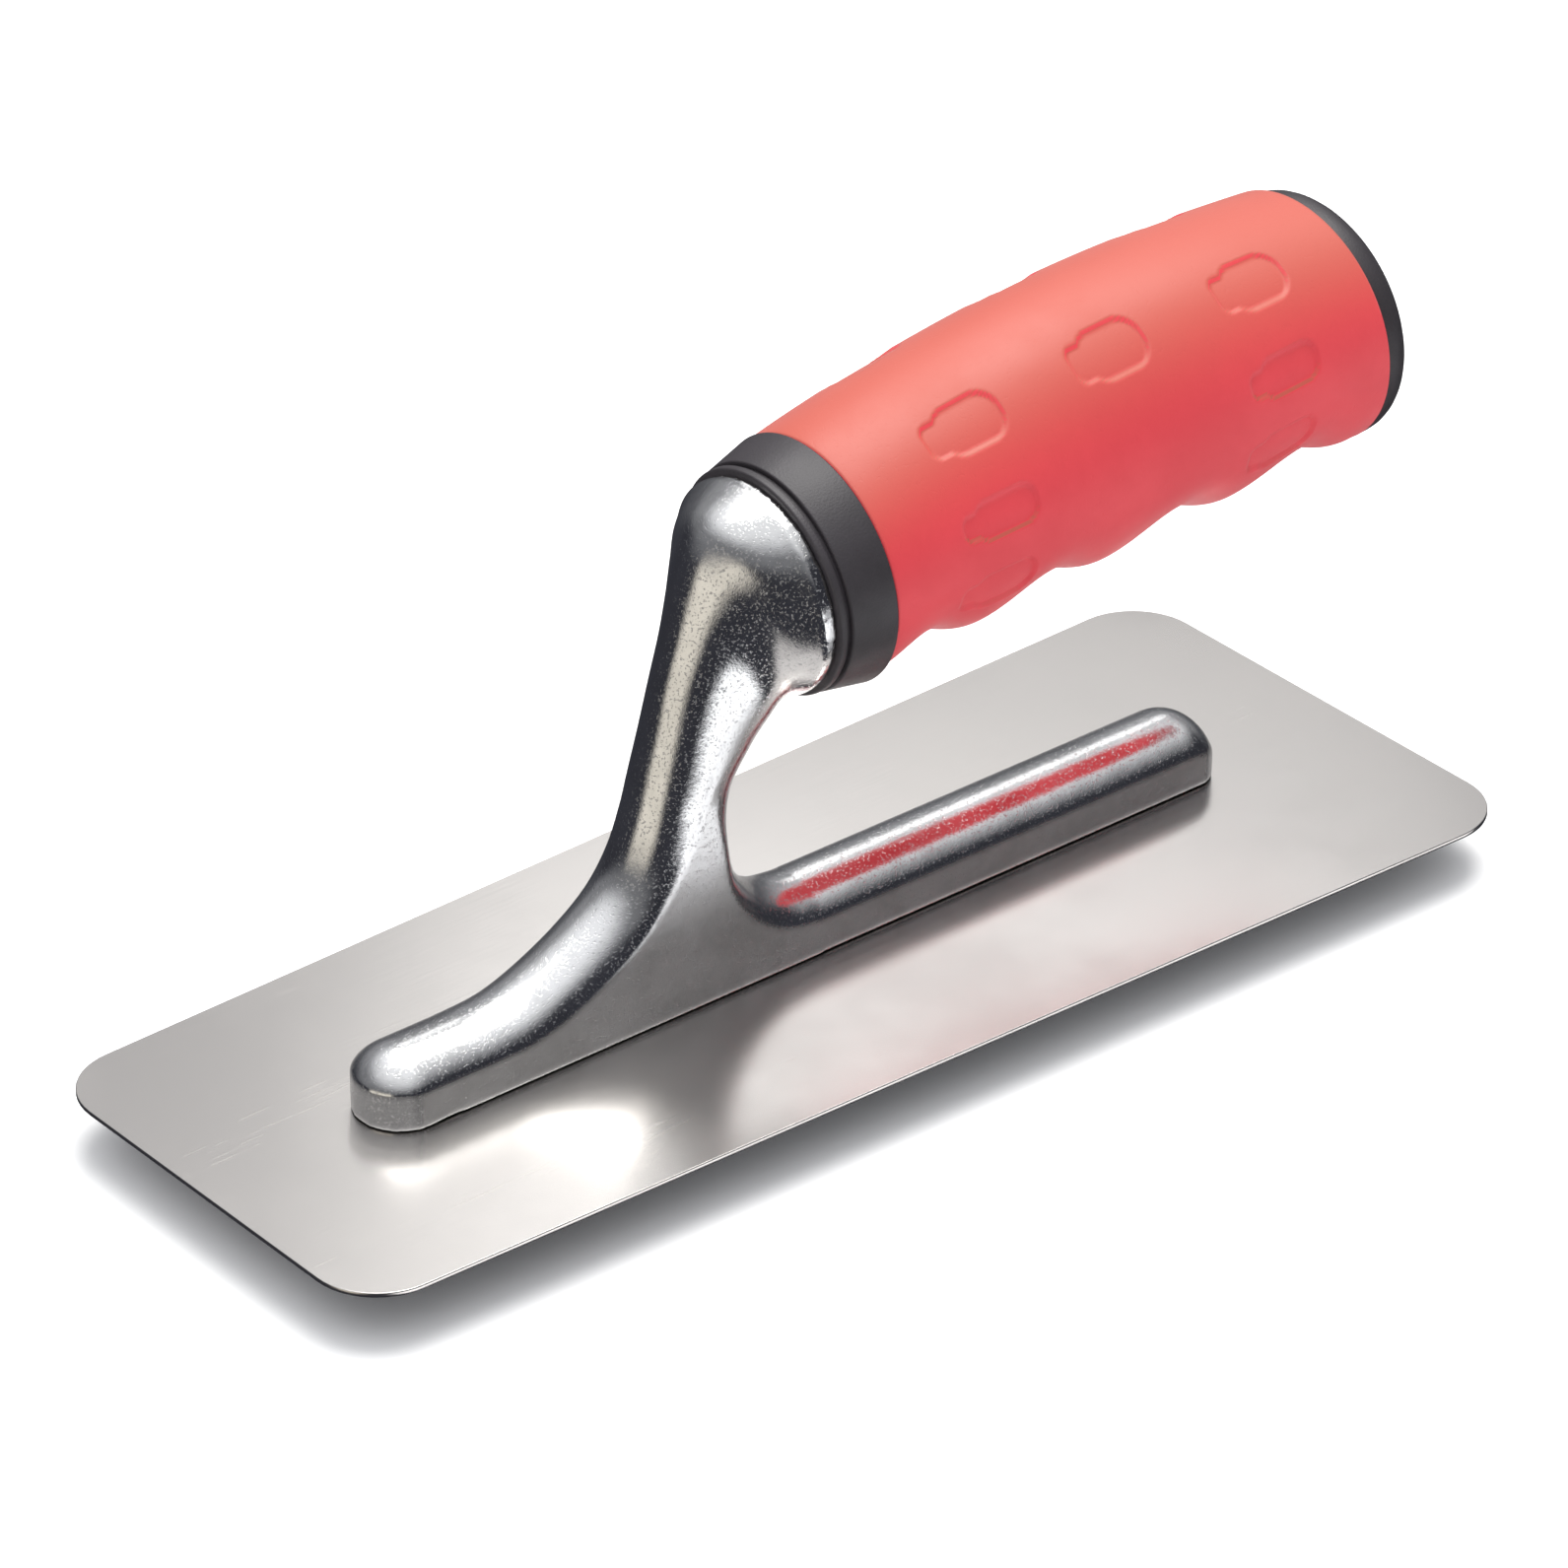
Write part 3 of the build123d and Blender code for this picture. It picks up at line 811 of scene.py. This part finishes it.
# %% Starting a finish
class Finish:
    """A Principled material with the object's own coordinates at hand."""

    def __init__(self, name, color, metallic, roughness, **sockets):
        self.material = bpy.data.materials.new(name)
        self.material.use_nodes = True
        self.tree = self.material.node_tree
        self.shader = self.tree.nodes["Principled BSDF"]
        self.material.diffuse_color = (*color, 1)
        self.shader.inputs["Base Color"].default_value = (*color, 1)
        self.shader.inputs["Metallic"].default_value = metallic
        self.shader.inputs["Roughness"].default_value = roughness
        for label, value in sockets.items():
            self.shader.inputs[label.replace("_", " ")].default_value = value
        self.place = self.tree.nodes.new("ShaderNodeTexCoord").outputs["Object"]

    def stretched(self, scale):
        """The object's coordinates scaled, so that an effect is drawn out where the scale is small."""
        node = self.tree.nodes.new("ShaderNodeMapping")
        node.inputs["Scale"].default_value = scale
        self.tree.links.new(self.place, node.inputs["Vector"])
        return node.outputs["Vector"]

    def effect(self, group, place, **values):
        """A shared effect at a place, with its inputs by name. Gives the group's outputs."""
        node = self.tree.nodes.new("ShaderNodeGroup")
        node.node_tree = group
        self.tree.links.new(place, node.inputs["Place"])
        for label, value in values.items():
            node.inputs[label.replace("_", " ")].default_value = value
        return node.outputs

    def tint(self, mask, low, high, low_at=0.0, high_at=1.0):
        """Colour that runs from low to high as the mask does."""
        node = self.tree.nodes.new("ShaderNodeMix")
        node.data_type = "RGBA"
        self.tree.links.new(remap(self.tree, mask, low_at, high_at, 0.0, 1.0), node.inputs["Factor"])
        for label, color in (("A_Color", low), ("B_Color", high)):
            socket = next(item for item in node.inputs if item.identifier == label)
            if isinstance(color, tuple):
                socket.default_value = (*color, 1)
            else:
                self.tree.links.new(color, socket)
        return node.outputs[2]

    def wire(self, source, label):
        self.tree.links.new(source, self.shader.inputs[label])

    def relief(self, height, depth):
        """Bump from a height that runs from 0 to 1 over a depth in metres."""
        node = self.tree.nodes.new("ShaderNodeBump")
        node.inputs["Strength"].default_value = 1.0
        node.inputs["Distance"].default_value = depth
        self.tree.links.new(height, node.inputs["Height"])
        self.wire(node.outputs["Normal"], "Normal")


# %% [markdown]
# ### Blade steel
# Trowel steel is rolled, ground along its length and wiped with oil, so it reflects softly and a little
# further along the grind than across it. A pale warm grey metal with a middling roughness does most of
# it; fine streaks along the blade and a few scuffs do the rest.

# %% Blade steel
steel = Finish("Blade steel", (0.78, 0.76, 0.74), 1.0, 0.25)
along_blade = steel.stretched((0.035, 1.0, 1.0))
marks = steel.effect(RUBBING, along_blade, Streaks_per_metre=1500.0, Clusters_per_metre=60.0)
dirt = steel.effect(MOTTLE, steel.place, Patches_per_metre=16.0, Grain_per_metre=2600.0)
clean = steel.tint(dirt["Tone"], (0.72, 0.69, 0.66), (0.78, 0.748, 0.716))
steel.wire(steel.tint(marks["Scuffs"], clean, (0.60, 0.57, 0.53)), "Base Color")
smooth = remap(steel.tree, dirt["Tone"], 0.0, 1.0, 0.27, 0.22)
rough = maths(steel.tree, "MULTIPLY", marks["Scuffs"], 0.12)
steel.wire(maths(steel.tree, "ADD", smooth, rough), "Roughness")
steel.relief(marks["Streaks"], 0.000004)

# %% [markdown]
# ### Cast aluminium
# The shank comes out of a mould and is tumbled bright. The metal is nearly white, but its skin still
# shows pits, faint ripples and a rub here and there, so what it reflects looks speckled. The flat sides
# of the web are only linished, so wherever the surface faces straight sideways it is satin, not bright.
# Along the foot, where the casting meets the blade, a thin dark line of painted shade stands in for the
# joint's shadow.

# %% Cast aluminium
PAINTED_SHADE_AT = (BLADE_TOP + 0.12) * MM
PAINTED_SHADE_FULL, PAINTED_SHADE_GONE = 0.06 * MM, 0.16 * MM      # above and below that height
SIDEWAYS_FROM, SIDEWAYS_FULL = 0.95, 0.995
TUMBLED, LINISHED = 0.13, 0.30
cast = Finish("Cast aluminium", (0.80, 0.80, 0.80), 1.0, 0.16)
skin_marks = cast.effect(CAST_SKIN, cast.place, Pits_per_metre=2600.0, Pit_depth=0.40, Ripple=0.8)
down_the_neck = cast.stretched((1.0, 0.2, 0.6))
rubs = cast.effect(RUBBING, down_the_neck, Streaks_per_metre=900.0, Clusters_per_metre=70.0)
tone = cast.effect(MOTTLE, cast.place, Patches_per_metre=90.0, Grain_per_metre=2400.0)
clean = cast.tint(tone["Tone"], (0.74, 0.74, 0.735), (0.86, 0.86, 0.86))
bright = cast.tint(skin_marks["Pit mask"], clean, (0.74, 0.74, 0.75))
# Painted shade: a thin near-black band in the colour along the foot, standing in for the shadow where the
# casting meets the blade.
above_joint = maths(cast.tree, "SUBTRACT", axes(cast.tree, cast.place)["Z"], PAINTED_SHADE_AT)
painted_shade = remap(cast.tree, maths(cast.tree, "ABSOLUTE", above_joint), PAINTED_SHADE_FULL, PAINTED_SHADE_GONE, 1.0, 0.0)
cast.wire(cast.tint(painted_shade, bright, (0.05, 0.048, 0.045)), "Base Color")
dull = maths(cast.tree, "MULTIPLY", skin_marks["Pit mask"], 0.10)
rubbed = maths(cast.tree, "MULTIPLY", rubs["Scuffs"], 0.10)
sideways = maths(cast.tree, "ABSOLUTE", axes(cast.tree, true_normal(cast.tree))["Y"])
satin = remap(cast.tree, sideways, SIDEWAYS_FROM, SIDEWAYS_FULL, TUMBLED, LINISHED)
cast.wire(maths(cast.tree, "ADD", maths(cast.tree, "ADD", dull, rubbed), satin), "Roughness")
cast.relief(skin_marks["Height"], 0.00005)

# %% [markdown]
# ### Red rubber
# The sleeve is a soft thermoplastic rubber. It has no shine of its own, only a broad pale bloom where
# light grazes it and a slightly uneven tone. Its colour is also painted a little paler and more orange
# wherever it faces up: a painted highlight for the lit top, which keeps it from going flat.

# %% Red rubber
rubber = Finish("Red rubber", (0.62, 0.032, 0.045), 0.0, 0.52, Sheen_Weight=0.15, Sheen_Roughness=0.45)
wear = rubber.effect(MOTTLE, rubber.place, Patches_per_metre=45.0, Grain_per_metre=3800.0)
even = rubber.tint(wear["Tone"], (0.60, 0.028, 0.041), (0.65, 0.035, 0.049))
# Painted highlight: the colour goes paler and more orange where the surface faces up, standing in for the
# light on the top.
painted_top_light_mask = axes(rubber.tree, true_normal(rubber.tree))["Z"]
rubber.wire(rubber.tint(painted_top_light_mask, even, (0.44, 0.074, 0.047), 0.25, 0.95), "Base Color")
rubber.wire(remap(rubber.tree, wear["Tone"], 0.0, 1.0, 0.56, 0.48), "Roughness")
texture = rubber.effect(CAST_SKIN, rubber.place, Pits_per_metre=1400.0, Pit_depth=0.3, Ripple=0.5)
rubber.relief(texture["Height"], 0.00004)

# %% [markdown]
# ### Black plastic
# The collar, its ring and the end cap are black nylon straight from a spark-eroded mould: matte, very
# slightly grained, and a touch greyer where they are rubbed.

# %% Black plastic
black = Finish("Black plastic", (0.018, 0.018, 0.02), 0.0, 0.45)
worn = black.effect(MOTTLE, black.place, Patches_per_metre=70.0, Grain_per_metre=3200.0)
black.wire(black.tint(worn["Tone"], (0.030, 0.026, 0.030), (0.038, 0.033, 0.038)), "Base Color")
black.wire(remap(black.tree, worn["Tone"], 0.0, 1.0, 0.50, 0.45), "Roughness")
black.relief(worn["Grain"], 0.00004)

# %% [markdown]
# ### Zinc-plated steel
# The tang rod with its washer and nut is hidden inside the handle. It is ordinary plated hardware:
# bluish, satin, with a faint bloom in patches.

# %% Zinc-plated steel
zinc = Finish("Zinc plated steel", (0.62, 0.64, 0.66), 1.0, 0.33)
bloom = zinc.effect(MOTTLE, zinc.place, Patches_per_metre=260.0, Grain_per_metre=2600.0)
zinc.wire(zinc.tint(bloom["Tone"], (0.54, 0.56, 0.58), (0.68, 0.69, 0.69)), "Base Color")
along_rod = zinc.stretched((0.2, 1.0, 1.0))
turning = zinc.effect(RUBBING, along_rod, Streaks_per_metre=1600.0, Clusters_per_metre=120.0)
zinc.wire(remap(zinc.tree, bloom["Tone"], 0.0, 1.0, 0.42, 0.28), "Roughness")
zinc.relief(turning["Streaks"], 0.00001)

# %% [markdown]
# ## Dressing the pieces
# Every new piece rides on the one body of this tool and gets its material.
# The rivets and the hidden hardware are right as packed, so those
# nodes stay and only their material slots are filled.

# %% New pieces
PIECE_FINISH = {
    "blade_sheet": (steel, "blade_steel"),
    "shank_casting": (cast, "cast_aluminium"),
    "neck_ring_moulding": (black, "black_plastic"),
    "collar_moulding": (black, "black_plastic"),
    "end_cap_moulding": (black, "black_plastic"),
    "sleeve_rubber": (rubber, "red_rubber"),
}
for name, piece in shown.items():
    finish, slot_name = PIECE_FINISH[name]
    piece.data.materials.clear()
    piece.data.materials.append(finish.material)
    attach(piece, "root")
print("dressed", len(shown), "new pieces")

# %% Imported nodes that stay
for name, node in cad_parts.items():
    if node.hide_render:
        continue
    finish = cast if name.startswith("rivet") else zinc
    if not node.material_slots:
        node.data.materials.append(finish.material)
    for holder in node.material_slots:
        holder.material = finish.material
    print("kept", name, "in", finish.material.name)

# %% [markdown]
# ## The studio
# Polished metal shows the room more than itself, so the room is half of the finish. This room is dim and
# a little blue, with a bright ceiling, grey walls that end in a dark doorway on one side, a sheet of white
# paper low down and a warm board. They put the pale and dark bands in the neck. A white floor lies a
# little below the blade, so that the shadow falls slightly away from it.

# %% Floor
FLOOR_DROP = 0.008
floor_mesh = bpy.data.meshes.new("studio_floor")
bm = bmesh.new()
bmesh.ops.create_grid(bm, x_segments=2, y_segments=2, size=6.0)
bmesh.ops.translate(bm, vec=(0, 0, -FLOOR_DROP), verts=bm.verts)
bm.to_mesh(floor_mesh)
bm.free()
floor = bpy.data.objects.new("studio_floor", floor_mesh)
bpy.context.scene.collection.objects.link(floor)
paper = Finish("Floor paper", (0.86, 0.86, 0.86), 0.0, 0.9)
fibre = paper.effect(MOTTLE, paper.place, Patches_per_metre=3.0, Grain_per_metre=900.0)
paper.wire(paper.tint(fibre["Tone"], (0.85, 0.85, 0.85), (0.87, 0.87, 0.87)), "Base Color")
floor_mesh.materials.append(paper.material)

# %% Camera
AZIMUTH = math.radians(140.366)
ELEVATION = math.radians(30.776)
CAMERA_AT = (0.57203, 0.68892, 0.55729 + BLADE_TOP * MM)
camera_data = bpy.data.cameras.new("camera")
camera_data.lens = 176.2
camera_data.sensor_width = 36.0
camera_data.clip_start = 0.05
camera = bpy.data.objects.new("camera", camera_data)
bpy.context.scene.collection.objects.link(camera)
camera.location = CAMERA_AT
back = Vector((
    math.sin(AZIMUTH) * math.cos(ELEVATION),
    -math.cos(AZIMUTH) * math.cos(ELEVATION),
    math.sin(ELEVATION),
))
camera.rotation_euler = back.to_track_quat("Z", "Y").to_euler()
bpy.context.scene.camera = camera
bpy.context.scene.view_settings.view_transform = "Standard"

# %% World light
# Everything here depends only on the direction in which a ray leaves the tool.
world = bpy.data.worlds.new("studio")
bpy.context.scene.world = world
world.use_nodes = True
tree = world.node_tree
direction = tree.nodes.new("ShaderNodeTexCoord").outputs["Generated"]
UP = Vector((0, 0, 1))


def compass(degrees):
    """Level direction at an angle from the toe, turning to the tool's left."""
    return Vector((math.cos(math.radians(degrees)), math.sin(math.radians(degrees)), 0))


def towards(vector):
    """How far the world direction points along a vector."""
    node = tree.nodes.new("ShaderNodeVectorMath")
    node.operation = "DOT_PRODUCT"
    tree.links.new(direction, node.inputs[0])
    node.inputs[1].default_value = vector
    return node.outputs["Value"]


def card(degrees, reach, soft, tilt_from, tilt_full, strength):
    """A card of light on one side of the room. Across, it is full within reach of its middle, and soft
    wide at its edge. It fades in where the direction's rise passes from tilt_from to tilt_full."""
    across = remap(tree, towards(compass(degrees)), reach - soft, reach, 0.0, strength)
    return maths(tree, "MULTIPLY", across, remap(tree, towards(UP), tilt_from, tilt_full, 0.0, 1.0))


def add_up(sources):
    """The sum of a few sockets."""
    total = sources[0]
    for source in sources[1:]:
        total = maths(tree, "ADD", total, source)
    return total


ROOM = 0.045              # dim light from everywhere
FILL = 0.66               # light that only matt surfaces get
BACK_WALL = Vector((-0.548, -0.661, 0.512))      # where the blade's top mirrors the camera
DOORWAY = compass(130)

back_wall = remap(tree, towards(BACK_WALL), 0.45, 1.0, 0.0, 0.12)
ceiling = remap(tree, towards(UP), 0.45, 0.95, 0.0, 0.80)
walls = remap(tree, towards(UP), 0.02, 0.40, 0.0, 0.17)
beside_doorway = remap(tree, towards(DOORWAY), 0.45, 0.75, 1.0, 0.0)
white_paper = card(108, 0.76, 0.06, -0.24, -0.36, 1.7)
warm_board = card(8, 0.97, 0.12, 0.35, 0.0, 0.80)
matt_only = tree.nodes.new("ShaderNodeLightPath").outputs["Is Diffuse Ray"]
fill = maths(tree, "MULTIPLY", matt_only, FILL)
lit_walls = maths(tree, "MULTIPLY", walls, beside_doorway)
neutral = add_up([back_wall, ceiling, white_paper, fill, lit_walls])

# %% The three colours of the room
shaders = []
for color, strength in (
    ((0.97, 0.98, 1.0), neutral),
    ((1.0, 0.93, 0.80), warm_board),
    ((0.78, 0.80, 1.0), ROOM),
):
    light = tree.nodes.new("ShaderNodeBackground")
    light.inputs["Color"].default_value = (*color, 1)
    feed(tree, light.inputs["Strength"], strength)
    shaders.append(light.outputs[0])
tree.nodes.remove(tree.nodes["Background"])
total = shaders[0]
for shader in shaders[1:]:
    both = tree.nodes.new("ShaderNodeAddShader")
    tree.links.new(total, both.inputs[0])
    tree.links.new(shader, both.inputs[1])
    total = both.outputs[0]
tree.links.new(total, tree.nodes["World Output"].inputs["Surface"])
floor.visible_glossy = False    # the metal then shows the room's cards, also from below
print("world of", len(shaders), "colours")


# %% Lamps
def softbox(name, place, aim, size, power, color=(1, 1, 1)):
    """A rectangular lamp that looks from a place at an aim, both in metres."""
    lamp = bpy.data.lights.new(name, "AREA")
    lamp.shape = "RECTANGLE"
    lamp.size, lamp.size_y = size
    lamp.energy = power
    lamp.color = color
    holder = bpy.data.objects.new(name, lamp)
    bpy.context.scene.collection.objects.link(holder)
    holder.location = place
    holder.rotation_euler = (Vector(place) - Vector(aim)).to_track_quat("Z", "Y").to_euler()
    print(name, power, "W")


softbox("top_softbox", (-0.30, -0.25, 1.25), (0, 0, 0.03), (0.9, 0.9), 17.5, (1.0, 0.985, 0.96))
softbox("back_softbox", (-0.42, -0.46, 0.455), (0, 0, 0), (0.24, 0.17), 0.135)
